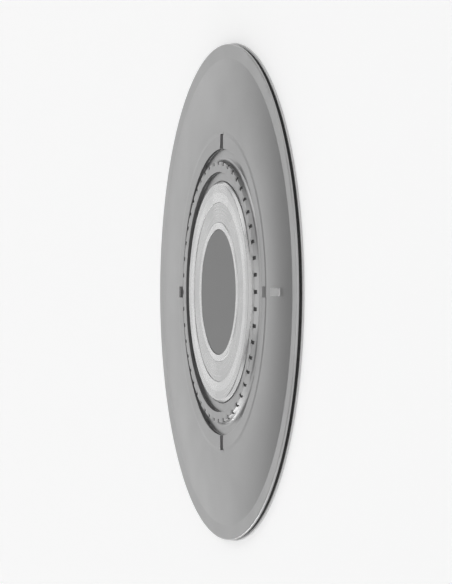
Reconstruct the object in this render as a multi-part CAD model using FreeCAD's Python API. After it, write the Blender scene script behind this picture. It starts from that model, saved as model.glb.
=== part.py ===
import FreeCAD, Part
import math
import os

# Round magnetic plate with an adhesive back, lying adhesive side down. The axis is Z, pointing out of the
# face. +Y is the upper index notch and +X the side that carries the index bar. Millimetres.

# Adhesive pad, a foam tape with an adhesive film at its foot
film_thickness = 0.2
film_overhang = 0.1         # how far its edge shows past the rim
foam_thickness = 0.42
foam_setback = 0.2          # how far its edge lies in from the rim

# Plate
plate_radius = 31.0
rim_thickness = 0.33        # at the flat outer band
rim_band_width = 1.8
rim_chamfer = 0.12
face_rise = 0.65            # from the rim band up to the flat face
land_width = 1.6            # flat ring round the moat
land_bevel = 0.3            # width of the bevel between it and the domed shoulder
land_drop = 0.05            # height of the bevel

# Magnet set, from the centre outwards
inlay_radius = 7.8
inlay_fit = 0.05
inlay_thickness = 0.3
inlay_setback = 0.05        # below the top of the core
core_rim = 0.85             # bright ring round the inlay
core_edge = 0.12
bond_gap = 0.05             # glue film on each side of the ring magnet
magnet_width = 2.4
magnet_setback = 0.06       # below the lip of the cup
lip_width = 2.3             # flat top of the cup's wall
lip_rise = 0.42             # above the flat face
lip_bevel = 0.35
cup_floor = 0.55
cup_fit = 0.05              # radial, between the cup and the plate
flange_width = 1.3          # behind the plate
flange_thickness = 0.2

# Index ring on the face, between a groove round the cup and the moat
groove_width = 1.15
groove_depth = 0.42         # below the top of the ring
ring_width = 1.4
ring_rise = 0.4             # above the flat face
ring_foot = 0.4             # bevel between its outer wall and the floor of the moat
ring_draft = 0.13           # how far the outer wall leans in above the bevel
slot_count = 48
slot_width = 0.5
slot_depth = 0.25
slot_length = 0.5           # inwards from the foot of the outer wall

# Moat round the ring, and marks on the face
moat_width = 1.5
moat_depth = 0.45
notch_count = 4
notch_width = 1.4
notch_length = 1.85         # outwards from the wall of the moat
bar_width = 1.05
bar_length = 3.6
bar_start = 1.8             # outwards from the top of the dome

# Radii that follow
core_radius = inlay_radius + inlay_fit + core_rim
magnet_inner = core_radius + bond_gap
magnet_outer = magnet_inner + magnet_width
pocket_radius = magnet_outer + bond_gap
lip_radius = pocket_radius + lip_width
boss_radius = lip_radius + lip_bevel
ring_inner = boss_radius + groove_width
ring_outer = ring_inner + ring_width
flange_radius = boss_radius + flange_width
bore_radius = boss_radius + cup_fit
moat_radius = ring_outer + moat_width
land_radius = moat_radius + land_width
dome_inner = land_radius + land_bevel
band_inner = plate_radius - rim_band_width

# Heights that follow
plate_bottom = film_thickness + foam_thickness
rim_top = plate_bottom + rim_thickness
face = rim_top + face_rise
dome_top = face - land_drop
moat_floor = face - moat_depth
ring_top = face + ring_rise
groove_floor = ring_top - groove_depth
flange_top = plate_bottom + flange_thickness
pocket_floor = plate_bottom + cup_floor
lip_top = face + lip_rise


def turned(start, *steps):
    """Solid turned about Z from a closed outline of (radius, height) points.

    A step is the next point of the outline, or two points: one that an arc passes through and its end.
    """
    def at(point):
        return FreeCAD.Vector(point[0], 0, point[1])

    edges = []
    last = start
    for step in (*steps, start):
        if isinstance(step[0], tuple):
            through, end = step
            edges.append(Part.Arc(at(last), at(through), at(end)).toShape())
        else:
            end = step
            edges.append(Part.LineSegment(at(last), at(end)).toShape())
        last = end
    outline = Part.Face(Part.Wire(edges))
    return outline.revolve(FreeCAD.Vector(0, 0, 0), FreeCAD.Vector(0, 0, 1), 360)


def radial_bars(count, inner, outer, width, low, high):
    """Bars that lie along the radius, evenly spaced about Z, the first of them on +X."""
    bars = []
    for index in range(count):
        bar = Part.makeBox(outer - inner, width, high - low, FreeCAD.Vector(inner, -width / 2, low))
        bar.rotate(FreeCAD.Vector(0, 0, 0), FreeCAD.Vector(0, 0, 1), index * 360 / count)
        bars.append(bar)
    return Part.makeCompound(bars)


def make_plate_blank():
    """The turned plate, without its slots, notches and index bar."""
    dome_run = band_inner - dome_inner
    dome_rise = dome_top - rim_top
    dome_radius = (dome_run ** 2 + dome_rise ** 2) / (2 * dome_rise)
    half_sweep = math.asin(dome_run / dome_radius) / 2
    dome_middle = (
        dome_inner + dome_radius * math.sin(half_sweep),
        dome_top - dome_radius * (1 - math.cos(half_sweep)))
    return turned(
        (bore_radius, groove_floor),
        (bore_radius, flange_top),
        (flange_radius + cup_fit, flange_top),
        (flange_radius + cup_fit, plate_bottom),
        (plate_radius, plate_bottom),
        (plate_radius, rim_top - rim_chamfer),
        (plate_radius - rim_chamfer, rim_top),
        (band_inner, rim_top),
        (dome_middle, (dome_inner, dome_top)),
        (land_radius, face),
        (moat_radius, face),
        (moat_radius, moat_floor),
        (ring_outer + ring_foot, moat_floor),
        (ring_outer, moat_floor + ring_foot),
        (ring_outer - ring_draft, ring_top),
        (ring_inner, ring_top),
        (ring_inner, groove_floor),
    )


def make_plate_body():
    mid_moat = (ring_outer + moat_radius) / 2
    slots = radial_bars(
        slot_count, ring_outer - slot_length, mid_moat, slot_width,
        ring_top - slot_depth, ring_top + slot_depth)
    notches = radial_bars(
        notch_count, mid_moat, moat_radius + notch_length, notch_width, moat_floor, face + moat_depth)
    bar_inner = dome_inner + bar_start
    bar = radial_bars(1, bar_inner, bar_inner + bar_length, bar_width, rim_top, face)
    return make_plate_blank().cut(slots).cut(notches).fuse(bar)


def make_magnet_cup():
    """Pot for the magnet, with a flange at its foot behind the plate."""
    return turned(
        (0, plate_bottom),
        (flange_radius, plate_bottom),
        (flange_radius, flange_top),
        (boss_radius, flange_top),
        (boss_radius, lip_top - lip_bevel),
        (lip_radius, lip_top),
        (pocket_radius, lip_top),
        (pocket_radius, pocket_floor),
        (0, pocket_floor),
    )


def make_ring_magnet():
    magnet_top = lip_top - magnet_setback
    return turned(
        (magnet_inner, pocket_floor),
        (magnet_outer, pocket_floor),
        (magnet_outer, magnet_top),
        (magnet_inner, magnet_top),
    )


def make_pole_core():
    inlay_floor = lip_top - inlay_setback - inlay_thickness
    recess_radius = inlay_radius + inlay_fit
    return turned(
        (0, pocket_floor),
        (core_radius, pocket_floor),
        (core_radius, lip_top - core_edge),
        (core_radius - core_edge, lip_top),
        (recess_radius, lip_top),
        (recess_radius, inlay_floor),
        (0, inlay_floor),
    )


def make_centre_inlay():
    inlay_floor = lip_top - inlay_setback - inlay_thickness
    return Part.makeCylinder(inlay_radius, inlay_thickness, FreeCAD.Vector(0, 0, inlay_floor))


def make_adhesive_pad():
    film_radius = plate_radius + film_overhang
    foam_radius = plate_radius - foam_setback
    return turned(
        (0, 0),
        (film_radius, 0),
        (film_radius, film_thickness),
        (foam_radius, film_thickness),
        (foam_radius, plate_bottom),
        (0, plate_bottom),
    )


pieces = {
    "plate_body": make_plate_body(),
    "magnet_cup": make_magnet_cup(),
    "ring_magnet": make_ring_magnet(),
    "pole_core": make_pole_core(),
    "centre_inlay": make_centre_inlay(),
    "adhesive_pad": make_adhesive_pad(),
}

os.makedirs("parts", exist_ok=True)
for name, shape in pieces.items():
    shape.exportStep(f"parts/{name}.step")
    print(f"{name}: {len(shape.Solids)} solid, valid {shape.isValid()}, {shape.Volume:.1f} mm3")
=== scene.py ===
import math

import bmesh
import bpy
from mathutils import Matrix, Vector, noise


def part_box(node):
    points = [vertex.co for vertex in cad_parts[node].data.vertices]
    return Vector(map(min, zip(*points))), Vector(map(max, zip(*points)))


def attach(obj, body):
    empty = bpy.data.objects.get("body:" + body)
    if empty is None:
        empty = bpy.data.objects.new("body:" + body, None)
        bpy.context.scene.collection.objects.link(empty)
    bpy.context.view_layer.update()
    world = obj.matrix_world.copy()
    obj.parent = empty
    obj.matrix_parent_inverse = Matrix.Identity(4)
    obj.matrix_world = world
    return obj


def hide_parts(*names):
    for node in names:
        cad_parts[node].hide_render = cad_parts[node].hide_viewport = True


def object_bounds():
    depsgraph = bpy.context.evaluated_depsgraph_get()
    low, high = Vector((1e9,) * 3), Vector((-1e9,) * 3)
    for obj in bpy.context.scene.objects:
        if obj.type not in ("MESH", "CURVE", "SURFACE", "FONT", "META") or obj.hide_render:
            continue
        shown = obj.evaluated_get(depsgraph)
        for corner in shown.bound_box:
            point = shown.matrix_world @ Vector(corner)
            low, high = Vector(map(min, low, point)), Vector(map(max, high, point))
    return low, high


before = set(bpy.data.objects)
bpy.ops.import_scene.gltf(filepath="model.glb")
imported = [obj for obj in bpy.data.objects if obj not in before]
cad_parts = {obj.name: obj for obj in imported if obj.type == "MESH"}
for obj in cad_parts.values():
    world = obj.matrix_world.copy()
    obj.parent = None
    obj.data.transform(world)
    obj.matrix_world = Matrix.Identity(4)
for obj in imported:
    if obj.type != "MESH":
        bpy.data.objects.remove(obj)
cad_low, cad_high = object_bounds()

# Round magnetic plate with an adhesive back, lying adhesive side down. Metres, axis along Z.

mm = 0.001

# Sizes that the frame gives
plate_low, plate_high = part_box("plate_body")
cup_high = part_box("magnet_cup")[1]
magnet_low, magnet_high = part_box("ring_magnet")
core_low, core_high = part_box("pole_core")
inlay_low, inlay_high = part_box("centre_inlay")
pad_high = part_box("adhesive_pad")[1]
plate_radius = plate_high.x
plate_bottom = plate_low.z
ring_top = plate_high.z
flange_radius = cup_high.x
lip_top = cup_high.z
pocket_floor = magnet_low.z

# Sizes of the plate
rim_thickness = 0.33 * mm
rim_band_width = 1.8 * mm
land_width = 1.6 * mm
land_bevel = 0.3 * mm
land_drop = 0.05 * mm
moat_width = 1.5 * mm
moat_depth = 0.45 * mm
notch_count = 4
notch_width = 1.4 * mm
notch_length = 1.85 * mm
bar_width = 1.05 * mm
bar_length = 3.6 * mm
bar_start = 1.8 * mm
groove_width = 1.15 * mm
groove_depth = 0.42 * mm
ring_width = 1.4 * mm
ring_rise = 0.4 * mm
ring_foot = 0.4 * mm
ring_draft = 0.13 * mm
slot_count = 48
slot_width = 0.5 * mm
slot_depth = 0.25 * mm
slot_length = 0.5 * mm

# Sizes of the magnet set and the pad
fit = 0.05 * mm
magnet_width = 2.4 * mm
lip_bevel = 0.35 * mm
flange_width = 1.3 * mm
flange_thickness = 0.2 * mm
film_thickness = 0.2 * mm
foam_setback = 0.2 * mm

# Small forms that the solids leave out
rim_rounding = 0.14 * mm
crease_rounding = 1.5 * mm      # where the rim band meets the dome
land_rounding = 0.06 * mm
root_fillet = 0.1 * mm          # at the foot of the moat's outer wall
foot_fillet = 0.48 * mm         # at the foot of the index ring
tooth_rounding = 0.07 * mm
bar_rounding = 0.1 * mm
crest_rounding = 0.25 * mm      # on both edges of the cup's bevel
core_rounding = 0.1 * mm
small_edge = 0.05 * mm
wall_draft = 0.02 * mm          # of the slots and the notches
glue_film = 0.03 * mm           # on each side of the magnet
foam_waver = 0.03 * mm          # of the foam's cut edge
foam_waist = 0.04 * mm          # how far the middle of that edge is drawn in

# Sizes in the materials
tone_cloud = 9 * mm
gloss_cloud = 5 * mm
plating_cloud = 4 * mm
wear_patch = 1.5 * mm
polished_band = 1.1 * mm        # inner part of the cup's lip
polish_fade = 0.2 * mm          # from that band to the rest of the lip
pore_size = 0.16 * mm
pore_depth = 0.05 * mm
foam_patch = 0.5 * mm

# Places that follow
rim_top = plate_bottom + rim_thickness
face = ring_top - ring_rise
dome_top = face - land_drop
moat_floor = face - moat_depth
groove_floor = ring_top - groove_depth
slot_floor = ring_top - slot_depth
flange_top = plate_bottom + flange_thickness
pocket_radius = magnet_high.x + fit
boss_radius = flange_radius - flange_width
bore_radius = boss_radius + fit
lip_radius = boss_radius - lip_bevel
ring_inner = boss_radius + groove_width
ring_outer = ring_inner + ring_width
slot_end = ring_outer - slot_length
wall_lean = ring_draft / (ring_rise + moat_depth - ring_foot)
moat_radius = ring_outer + moat_width
land_radius = moat_radius + land_width
dome_inner = land_radius + land_bevel
band_inner = plate_radius - rim_band_width
bar_inner = dome_inner + bar_start
bar_outer = bar_inner + bar_length
slot_pitch = 2 * math.pi / slot_count

# Fineness of the meshes
arc_steps = 4
dome_rows = 30
turned_stations = 240
turned_angles = [2 * math.pi * station / turned_stations for station in range(turned_stations)]
edge_shares = (0.15, 0.5, 1)    # points across the rounded side of a tooth or of the bar
tooth_shares = (0.4, 0.5, 0.6)  # stations on a tooth, from one slot to the next
bar_insets = [0] + [bar_rounding * share for share in edge_shares]
edge_hold = 0.01 * mm           # from the end of a rounding to the point that holds the flat
waver_circle = 40               # radius of the circle through the noise that wavers the foam's edge
merge_distance = 1e-8           # joins the points that every station has on the axis
sharp_angle = math.radians(40)


def rounded(corners):
    """Closed outline of (radius, height, edge) from corners of (radius, height, rounding).

    The corners run anticlockwise. edge is 1 on a rounding that stands out, -1 in a tight inner corner,
    which gets painted shade, and 0 elsewhere. A point just past each end of a rounding keeps the flat
    beside it flat when shaded.
    """
    outline = []
    for index, (radius, height, rounding) in enumerate(corners):
        here = Vector((radius, height))
        if not rounding:
            outline.append((radius, height, 0.0))
            continue
        to_last = (Vector(corners[index - 1][:2]) - here).normalized()
        to_next = (Vector(corners[(index + 1) % len(corners)][:2]) - here).normalized()
        opening = to_last.angle(to_next)
        sweep = math.pi - opening
        stands_out = to_next.x * to_last.y - to_next.y * to_last.x > 0
        centre = here + (to_last + to_next).normalized() * rounding / math.sin(opening / 2)
        reach = rounding / math.tan(opening / 2)
        first = here + to_last * reach - centre
        final = here + to_next * reach - centre
        outline.append((*(here + to_last * (reach + edge_hold)), 0.0))
        for step in range(arc_steps + 1):
            share = step / arc_steps
            spoke = first * math.sin((1 - share) * sweep) + final * math.sin(share * sweep)
            point = centre + spoke / math.sin(sweep)
            edge = 0.0
            # -1 marks a tight inner corner for painted shade
            if not stands_out and rounding <= root_fillet:
                edge = -1.0
            elif stands_out and 0 < step < arc_steps:
                edge = 1.0
            outline.append((point.x, point.y, edge))
        outline.append((*(here + to_next * (reach + edge_hold)), 0.0))
    return outline


def spin(name, stations):
    """Closed mesh about Z through stations of (angle, offset, outline).

    A station's outline stands at its angle, moved sideways by its offset.
    """
    off_axis = [radius > 0 for radius, height, edge in stations[0][2]]
    rows = len(off_axis)
    points = []
    edges = []
    for angle, offset, outline in stations:
        for radius, height, edge in outline:
            turn = angle + math.asin(offset / radius) if radius else angle
            points.append((radius * math.cos(turn), radius * math.sin(turn), height))
            edges.append(edge)
    faces = []
    for station in range(len(stations)):
        here = station * rows
        there = (station + 1) % len(stations) * rows
        for row in range(rows):
            after = (row + 1) % rows
            if off_axis[row] or off_axis[after]:
                faces.append((here + row, there + row, there + after, here + after))
    mesh = bpy.data.meshes.new(name)
    mesh.from_pydata(points, [], faces)
    mesh.attributes.new("edge", "FLOAT", "POINT").data.foreach_set("value", edges)
    work = bmesh.new()
    work.from_mesh(mesh)
    bmesh.ops.remove_doubles(work, verts=work.verts, dist=merge_distance)
    work.to_mesh(mesh)
    work.free()
    mesh.shade_smooth()
    mesh.set_sharp_from_angle(angle=sharp_angle)
    piece = bpy.data.objects.new(name, mesh)
    bpy.context.scene.collection.objects.link(piece)
    return piece


def turned(name, corners):
    """Piece turned from one outline."""
    outline = rounded(corners)
    return spin(name, [(angle, 0, outline) for angle in turned_angles])


def place(piece, node, material):
    """Stands for a node of the frame, with its material."""
    piece.data.materials.append(material)
    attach(piece, "root")
    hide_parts(node)


# Plate

def dome_height(radius):
    """Height of the dome, which is part of a ball."""
    run = band_inner - dome_inner
    rise = dome_top - rim_top
    ball = (run ** 2 + rise ** 2) / (2 * rise)
    return dome_top - ball + math.sqrt(ball ** 2 - (radius - dome_inner) ** 2)


def land_height(radius):
    """Height of the flat land, of the bevel at its edge and of the start of the dome."""
    if radius > dome_inner:
        return dome_height(radius)
    return face - land_drop * max(0.0, radius - land_radius) / land_bevel


def bar_lift(distance):
    """Share of the bar's height at a distance inside its edge."""
    return math.sqrt(min(1.0, max(0.0, distance / bar_rounding)))


def dome_radii():
    """Radii of the rows on the dome, from the rim band inwards, with rows at the ends of the bar."""
    run = band_inner - dome_inner
    even = [band_inner - run * row / dome_rows for row in range(1, dome_rows)]
    ends = []
    for inset in bar_insets:
        ends += [bar_inner + inset, bar_outer - inset]
    clear = [radius for radius in even if all(abs(radius - end) > bar_rounding for end in ends)]
    return sorted(clear + ends, reverse=True)


def ring_height(offset):
    """Height of the index ring's outer edge at a distance from the middle of a slot."""
    into_tooth = offset - slot_width / 2
    if into_tooth < 0:
        return slot_floor
    short = max(0.0, tooth_rounding - into_tooth)
    return ring_top - tooth_rounding + math.sqrt(tooth_rounding ** 2 - short ** 2)


def plate_outline(ring_here, wall_radius, bar_share):
    """Section of the plate.

    ring_here is the height of the index ring's outer edge, wall_radius the radius of the moat's outer wall
    and bar_share the share of the index bar's height. In a notch the land's edge moves out with the wall.
    """
    dome = []
    for radius in dome_radii():
        lift = bar_share * bar_lift(min(radius - bar_inner, bar_outer - radius))
        height = dome_height(radius)
        dome.append((radius, height + lift * (face - height), 0))
    wall_foot = ring_outer + wall_lean * ring_foot
    outer_land = max(dome_inner, wall_radius + 2 * land_rounding)
    inner_land = max(land_radius, wall_radius + 1.5 * land_rounding)
    wall_top = land_height(inner_land)
    return rounded([
        (flange_radius + fit, plate_bottom, 0),
        (plate_radius, plate_bottom, small_edge),
        (plate_radius, rim_top, rim_rounding),
        (band_inner, rim_top, crease_rounding),
        *dome,
        (outer_land, land_height(outer_land), 0),
        (inner_land, wall_top, 0),
        (inner_land - edge_hold, wall_top, 0),
        (wall_radius, wall_top, land_rounding),
        (wall_radius, moat_floor, root_fillet),
        (wall_foot, moat_floor, foot_fillet),
        (wall_foot - wall_lean * (ring_here - moat_floor), ring_here, tooth_rounding),
        (slot_end, ring_here, 0),
        (slot_end - wall_draft, ring_top, 0),
        (ring_inner, ring_top, tooth_rounding),
        (ring_inner, groove_floor, small_edge),
        (bore_radius, groove_floor, small_edge),
        (bore_radius, flange_top, 0),
        (flange_radius + fit, flange_top, 0),
    ])


def plate_stations():
    """Stations on the walls of the slots, of the notches and of the bar, and across each tooth."""
    half_slot = slot_width / 2
    half_notch = notch_width / 2
    half_bar = bar_width / 2
    slot_offsets = [half_slot - wall_draft, half_slot]
    slot_offsets += [half_slot + tooth_rounding * share for share in edge_shares]
    notch_offsets = [half_notch - wall_draft, half_notch]
    bar_offsets = [half_bar - inset for inset in bar_insets]
    stations = []
    for slot in range(slot_count):
        at_notch = slot % (slot_count // notch_count) == 0
        at_bar = slot == 0
        offsets = sorted(slot_offsets + notch_offsets * at_notch + bar_offsets * at_bar)
        for offset in [-offset for offset in reversed(offsets)] + [0] + offsets:
            in_notch = at_notch and abs(offset) < half_notch
            wall_radius = moat_radius + notch_length if in_notch else moat_radius
            bar_share = bar_lift(half_bar - abs(offset)) if at_bar else 0
            outline = plate_outline(ring_height(abs(offset)), wall_radius, bar_share)
            stations.append((slot_pitch * slot, offset, outline))
        for share in tooth_shares:
            stations.append((slot_pitch * (slot + share), 0, plate_outline(ring_top, moat_radius, 0)))
    return stations


def in_slot(point):
    """Whether a point lies on the floor or a wall of a slot in the index ring."""
    radius = math.hypot(point.x, point.y)
    at_edge = slot_end - small_edge < radius < ring_outer
    if not at_edge or not slot_floor - small_edge < point.z < ring_top - small_edge:
        return False
    from_slot = (math.atan2(point.y, point.x) + slot_pitch / 2) % slot_pitch - slot_pitch / 2
    return abs(radius * math.sin(from_slot)) < slot_width / 2


def on_recess_wall(point):
    """Whether a point lies on the moat's outer wall or on the inner wall of the index ring."""
    radius = math.hypot(point.x, point.y)
    if abs(radius - moat_radius) < small_edge:
        return moat_floor + root_fillet < point.z < face - land_rounding
    if abs(radius - ring_inner) < small_edge:
        return groove_floor + small_edge < point.z < ring_top - small_edge
    return False


# Magnet set

def cup_corners():
    return [
        (0, plate_bottom, 0),
        (flange_radius, plate_bottom, small_edge),
        (flange_radius, flange_top, small_edge),
        (boss_radius, flange_top, 0),
        (boss_radius, lip_top - lip_bevel, crest_rounding),
        (lip_radius, lip_top, crest_rounding),
        (pocket_radius, lip_top, small_edge),
        (pocket_radius, pocket_floor, 0),
        (0, pocket_floor, 0),
    ]


def magnet_corners():
    inner = magnet_high.x - magnet_width - glue_film
    outer = magnet_high.x + glue_film
    return [
        (inner, pocket_floor, 0),
        (outer, pocket_floor, 0),
        (outer, magnet_high.z, small_edge),
        (inner, magnet_high.z, small_edge),
    ]


def core_corners():
    recess = inlay_high.x + fit
    return [
        (0, core_low.z, 0),
        (core_high.x, core_low.z, 0),
        (core_high.x, core_high.z, core_rounding),
        (recess, core_high.z, small_edge),
        (recess, inlay_low.z, 0),
        (0, inlay_low.z, 0),
    ]


def inlay_corners():
    return [
        (0, inlay_low.z, 0),
        (inlay_high.x, inlay_low.z, 0),
        (inlay_high.x, inlay_high.z, small_edge),
        (0, inlay_high.z, 0),
    ]


# Adhesive pad

def pad_stations():
    """Film with a clean edge, and foam above it whose cut edge wavers a little."""
    film_radius = pad_high.x
    stations = []
    for angle in turned_angles:
        around = Vector((math.cos(angle), math.sin(angle), 0)) * waver_circle
        foam_radius = plate_radius - foam_setback + foam_waver * noise.noise(around)
        stations.append((angle, 0, rounded([
            (0, 0, 0),
            (film_radius, 0, small_edge),
            (film_radius, film_thickness, small_edge),
            (foam_radius, film_thickness, 0),
            (foam_radius - foam_waist, (film_thickness + plate_bottom) / 2, 0),
            (foam_radius, plate_bottom, 0),
            (0, plate_bottom, 0),
        ])))
    return stations


# Materials

def node(tree, kind, inputs, **settings):
    """Adds a shader node, with its inputs set to values or linked to sockets."""
    made = tree.nodes.new(kind)
    for name, value in settings.items():
        setattr(made, name, value)
    for key, value in inputs.items():
        if isinstance(value, bpy.types.NodeSocket):
            tree.links.new(value, made.inputs[key])
        else:
            made.inputs[key].default_value = value
    return made


def new_material(name):
    """Material, its tree, its shader and the coordinates on the piece."""
    material = bpy.data.materials.new(name)
    material.use_nodes = True
    tree = material.node_tree
    shader = tree.nodes["Principled BSDF"]
    coordinates = node(tree, "ShaderNodeTexCoord", {}).outputs["Object"]
    return material, tree, shader, coordinates


def grain(tree, vector, size, detail=2.0):
    """Noise whose grains are about this size."""
    made = node(tree, "ShaderNodeTexNoise", {"Vector": vector, "Scale": 1 / size, "Detail": detail})
    return made.outputs["Fac"]


def spread(tree, value, low, high):
    """Noise, most of which lies between 0.3 and 0.7, spread over another range."""
    made = node(tree, "ShaderNodeMapRange", {
        "Value": value, "From Min": 0.3, "From Max": 0.7, "To Min": low, "To Max": high})
    return made.outputs["Result"]


def math_node(tree, operation, *values):
    return node(tree, "ShaderNodeMath", dict(enumerate(values)), operation=operation).outputs[0]


def grey(tree, value):
    made = node(tree, "ShaderNodeCombineColor", {"Red": value, "Green": value, "Blue": value})
    return made.outputs["Color"]


def bump(tree, height, depth, strength):
    made = node(tree, "ShaderNodeBump", {"Height": height, "Distance": depth, "Strength": strength})
    return made.outputs["Normal"]


def distance_from_axis(tree, vector):
    flat = node(tree, "ShaderNodeVectorMath", {0: vector, 1: (1, 1, 0)}, operation="MULTIPLY")
    length = node(tree, "ShaderNodeVectorMath", {0: flat.outputs["Vector"]}, operation="LENGTH")
    return length.outputs["Value"]


def edge_change(tree, vector, wear, shade):
    """Change of tone on roundings that stand out, and painted shade in tight inner corners, broken up by
    grains.
    """
    least_share = 0.5
    edge = node(tree, "ShaderNodeAttribute", {}, attribute_name="edge").outputs["Fac"]
    patches = spread(tree, grain(tree, vector, wear_patch), least_share, 1.0)
    broken = math_node(tree, "MULTIPLY", edge, patches)
    rubbed = math_node(tree, "MULTIPLY", math_node(tree, "MAXIMUM", broken, 0.0), wear)
    # painted shade: darker in tight inner corners, where shade falls
    shaded = math_node(tree, "MULTIPLY", math_node(tree, "MINIMUM", broken, 0.0), shade)
    return math_node(tree, "ADD", rubbed, shaded)


def fine_grained(name, level, roughness, grain_size, wear):
    """Even grey with fine grain and rubbed edges, painted shade in tight inner corners, a little cloudy in
    tone and gloss.
    """
    tone_range = 0.015 * level
    speck_range = 0.03 * level
    gloss_range = 0.015
    # depth of the painted shade in tight inner corners
    corner_shade = 0.95 * level
    grain_depth = 0.02 * grain_size
    material, tree, shader, vector = new_material(name)
    tone_noise = grain(tree, vector, tone_cloud, detail=4.0)
    cloud = spread(tree, tone_noise, level - tone_range, level + tone_range)
    speck = spread(tree, grain(tree, vector, grain_size), -speck_range, speck_range)
    change = edge_change(tree, vector, wear, corner_shade)
    value = math_node(tree, "ADD", math_node(tree, "ADD", cloud, speck), change)
    tree.links.new(grey(tree, value), shader.inputs["Base Color"])
    gloss_noise = grain(tree, vector, gloss_cloud, detail=3.0)
    gloss = spread(tree, gloss_noise, roughness - gloss_range, roughness + gloss_range)
    tree.links.new(gloss, shader.inputs["Roughness"])
    texture = bump(tree, grain(tree, vector, grain_size, detail=3.0), grain_depth, strength=0.5)
    tree.links.new(texture, shader.inputs["Normal"])
    return material


def blasted_metal(name, level, roughness, grain_size, wear):
    """Metal with a fine blasted grain."""
    material = fine_grained(name, level, roughness, grain_size, wear)
    material.node_tree.nodes["Principled BSDF"].inputs["Metallic"].default_value = 1.0
    return material


def turned_metal(name, level, roughness, line_size, polished=1.0, outer=1.0):
    """Plated metal with the fine rings of a lathe, rubbed edges and painted shade in tight inner corners,
    a little uneven in tone and gloss.

    Outside the polished radius the tone is the given share of the level.
    """
    dark_line = 0.95 * level
    pale_line = 1.03 * level
    cloud_range = 0.02 * level
    gloss_range = 0.03
    edge_wear = 0.1 * level
    # depth of the painted shade in tight inner corners
    corner_shade = 0.5 * level
    line_depth = 0.01 * line_size
    material, tree, shader, vector = new_material(name)
    radius = distance_from_axis(tree, vector)
    lines = node(tree, "ShaderNodeTexNoise", {"W": radius, "Scale": 1 / line_size, "Detail": 3.0},
                 noise_dimensions="1D").outputs["Fac"]
    cloud = grain(tree, vector, plating_cloud, detail=4.0)
    band = node(tree, "ShaderNodeMapRange", {
        "Value": radius, "From Min": polished, "From Max": polished + polish_fade,
        "To Min": 1.0, "To Max": outer})
    tone = math_node(tree, "ADD", spread(tree, lines, dark_line, pale_line),
                     spread(tree, cloud, -cloud_range, cloud_range))
    tone = math_node(tree, "MULTIPLY", tone, band.outputs["Result"])
    change = edge_change(tree, vector, edge_wear, corner_shade)
    tree.links.new(grey(tree, math_node(tree, "ADD", tone, change)), shader.inputs["Base Color"])
    gloss = math_node(tree, "ADD", spread(tree, lines, roughness - gloss_range, roughness + gloss_range),
                      spread(tree, cloud, -gloss_range, gloss_range))
    tree.links.new(gloss, shader.inputs["Roughness"])
    tree.links.new(bump(tree, lines, line_depth, strength=0.4), shader.inputs["Normal"])
    shader.inputs["Metallic"].default_value = 1.0
    return material


def foam():
    """Dark closed-cell foam: pores that dent the surface and pale specks between them."""
    darkest = 0.012
    palest = 0.035
    smoothest = 0.75
    roughest = 0.9
    material, tree, shader, vector = new_material("foam")
    cells = node(tree, "ShaderNodeTexVoronoi", {"Vector": vector, "Scale": 1 / pore_size})
    pores = cells.outputs["Distance"]
    tree.links.new(grey(tree, spread(tree, pores, darkest, palest)), shader.inputs["Base Color"])
    gloss = spread(tree, grain(tree, vector, foam_patch), smoothest, roughest)
    tree.links.new(gloss, shader.inputs["Roughness"])
    tree.links.new(bump(tree, pores, pore_depth, strength=0.8), shader.inputs["Normal"])
    return material


# Pieces

plate = spin("turned_plate", plate_stations())
plate_alloy = blasted_metal("plate alloy", level=0.42, roughness=0.34, grain_size=0.12 * mm, wear=0.06)
place(plate, "plate_body", plate_alloy)
# Painted shade: a dark matt material on the slots and on the recess walls, where shade falls.
recess_shade = fine_grained("slot shade", level=0.1, roughness=0.85, grain_size=0.1 * mm, wear=0.0)
plate.data.materials.append(recess_shade)
for polygon in plate.data.polygons:
    if in_slot(polygon.center) or on_recess_wall(polygon.center):
        polygon.material_index = 1

cup = turned("turned_cup", cup_corners())
cup_plating = turned_metal(
    "cup plating", level=0.66, roughness=0.27, line_size=0.12 * mm,
    polished=pocket_radius + polished_band, outer=0.84)
place(cup, "magnet_cup", cup_plating)

magnet = turned("plated_magnet", magnet_corners())
magnet_plating = turned_metal("magnet plating", level=0.53, roughness=0.28, line_size=0.2 * mm)
place(magnet, "ring_magnet", magnet_plating)

core = turned("turned_core", core_corners())
core_plating = turned_metal("core plating", level=0.67, roughness=0.27, line_size=0.12 * mm)
place(core, "pole_core", core_plating)

inlay = turned("inlay_disc", inlay_corners())
inlay_grey = fine_grained("inlay grey", level=0.205, roughness=0.5, grain_size=0.25 * mm, wear=0.02)
place(inlay, "centre_inlay", inlay_grey)

pad = spin("foam_pad", pad_stations())
place(pad, "adhesive_pad", foam())
adhesive_film = fine_grained("adhesive film", level=0.8, roughness=0.4, grain_size=0.2 * mm, wear=0.02)
pad.data.materials.append(adhesive_film)
for polygon in pad.data.polygons:
    if polygon.center.z < film_thickness + small_edge:
        polygon.material_index = 1

# Stage

floor_size = 6.0
floor_gap = 0.01 * mm       # below the pad, so that no two faces share a plane
floor_level = 0.82          # to the camera and in mirrors, where it also glows
floor_glow = 0.29
floor_bounce = 0.5          # level in bounced light
world_level = 0.15


def plain(level):
    """Colour of a grey level."""
    return level, level, level, 1


def softbox(name, at, size, power):
    """Soft rectangular lamp that faces the plate."""
    lamp = bpy.data.lights.new(name, "AREA")
    lamp.shape = "RECTANGLE"
    lamp.size, lamp.size_y = size
    lamp.energy = power
    holder = bpy.data.objects.new(name, lamp)
    holder.location = at
    holder.rotation_euler = (-Vector(at)).to_track_quat("-Z", "Y").to_euler()
    holder.visible_camera = False
    bpy.context.scene.collection.objects.link(holder)


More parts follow.
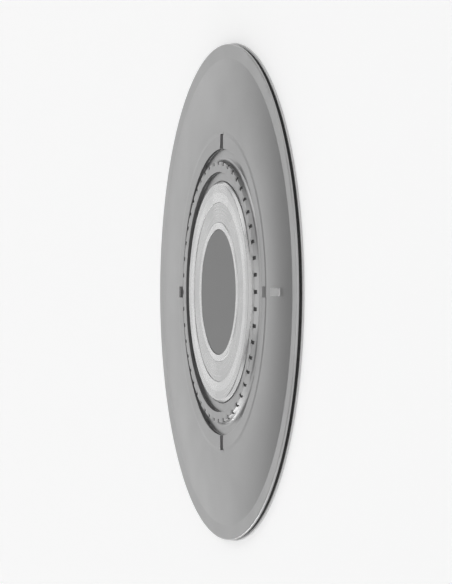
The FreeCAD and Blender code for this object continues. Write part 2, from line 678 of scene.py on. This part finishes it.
def floor_material():
    """Pale floor that is white to the camera and in mirrors, and dimmer in bounced light."""
    material = bpy.data.materials.new("pale floor")
    material.use_nodes = True
    tree = material.node_tree
    tree.nodes.remove(tree.nodes["Principled BSDF"])
    path = node(tree, "ShaderNodeLightPath", {}).outputs
    mirrored = math_node(tree, "ADD", path["Is Glossy Ray"], path["Is Transmission Ray"])
    seen = math_node(tree, "ADD", path["Is Camera Ray"], mirrored)
    pale = node(tree, "ShaderNodeBsdfDiffuse", {"Color": plain(floor_level)})
    glow = node(tree, "ShaderNodeEmission", {"Color": plain(1), "Strength": floor_glow})
    white = node(tree, "ShaderNodeAddShader", {0: pale.outputs[0], 1: glow.outputs[0]})
    dim = node(tree, "ShaderNodeBsdfDiffuse", {"Color": plain(floor_bounce)})
    mixed = node(tree, "ShaderNodeMixShader", {0: seen, 1: dim.outputs[0], 2: white.outputs[0]})
    tree.links.new(mixed.outputs[0], tree.nodes["Material Output"].inputs["Surface"])
    return material


half_floor = floor_size / 2
floor_mesh = bpy.data.meshes.new("floor")
floor_mesh.from_pydata(
    [(-half_floor, -half_floor, 0), (half_floor, -half_floor, 0),
     (half_floor, half_floor, 0), (-half_floor, half_floor, 0)], [], [(0, 1, 2, 3)])
floor = bpy.data.objects.new("floor", floor_mesh)
floor.location.z = -floor_gap
floor.data.materials.append(floor_material())
bpy.context.scene.collection.objects.link(floor)

world = bpy.data.worlds.new("studio")
world.use_nodes = True
world.node_tree.nodes["Background"].inputs["Color"].default_value = plain(world_level)
bpy.context.scene.world = world

# Lamps, with place, size and watts. Front is the camera's side, up and down are as in the picture.
softbox("overhead", (-0.15, 0.0, 1.2), (1.6, 1.6), 6.0)
softbox("low_back", (-1.1, -0.1, 0.28), (2.0, 0.33), 2.2)
softbox("low_side", (-0.1, -1.2, 0.13), (1.4, 0.25), 1.4)
softbox("low_corner", (-0.77, -0.92, 0.09), (0.69, 0.17), 1.7)
softbox("low_up", (0.15, 1.2, 0.14), (0.7, 0.25), 0.35)
softbox("high_up", (-0.5, 0.9, 0.85), (1.2, 0.8), 3.2)
softbox("high_down", (-0.45, -1.05, 0.65), (1.2, 0.9), 3.0)
softbox("front", (1.35, 0.0, 0.36), (1.6, 0.6), 3.2)
softbox("front_up", (0.75, 1.05, 0.3), (1.2, 0.4), 1.0)
softbox("front_down", (0.95, -1.0, 0.3), (1.2, 0.4), 1.3)
softbox("high_front", (0.9, 0.0, 0.9), (1.6, 1.0), 3.0)

# Camera, at the low angle of the picture: near side to the right, plate's axis to the left
view_elevation = math.radians(16)
view_distance = 1.15
shown_height = 73 * mm
sensor = 36.0
back = Vector((math.cos(view_elevation), 0, math.sin(view_elevation)))
right = Vector((math.sin(view_elevation), 0, -math.cos(view_elevation)))
target = Vector((0, 0, (cad_low.z + cad_high.z) / 2))
camera_data = bpy.data.cameras.new("camera")
camera_data.sensor_width = sensor
camera_data.lens = sensor * view_distance / shown_height
camera = bpy.data.objects.new("camera", camera_data)
turn = Matrix((right, Vector((0, 1, 0)), back)).transposed().to_4x4()
camera.matrix_world = Matrix.Translation(target + back * view_distance) @ turn
bpy.context.scene.collection.objects.link(camera)
bpy.context.scene.camera = camera

bpy.context.scene.view_settings.view_transform = "Standard"
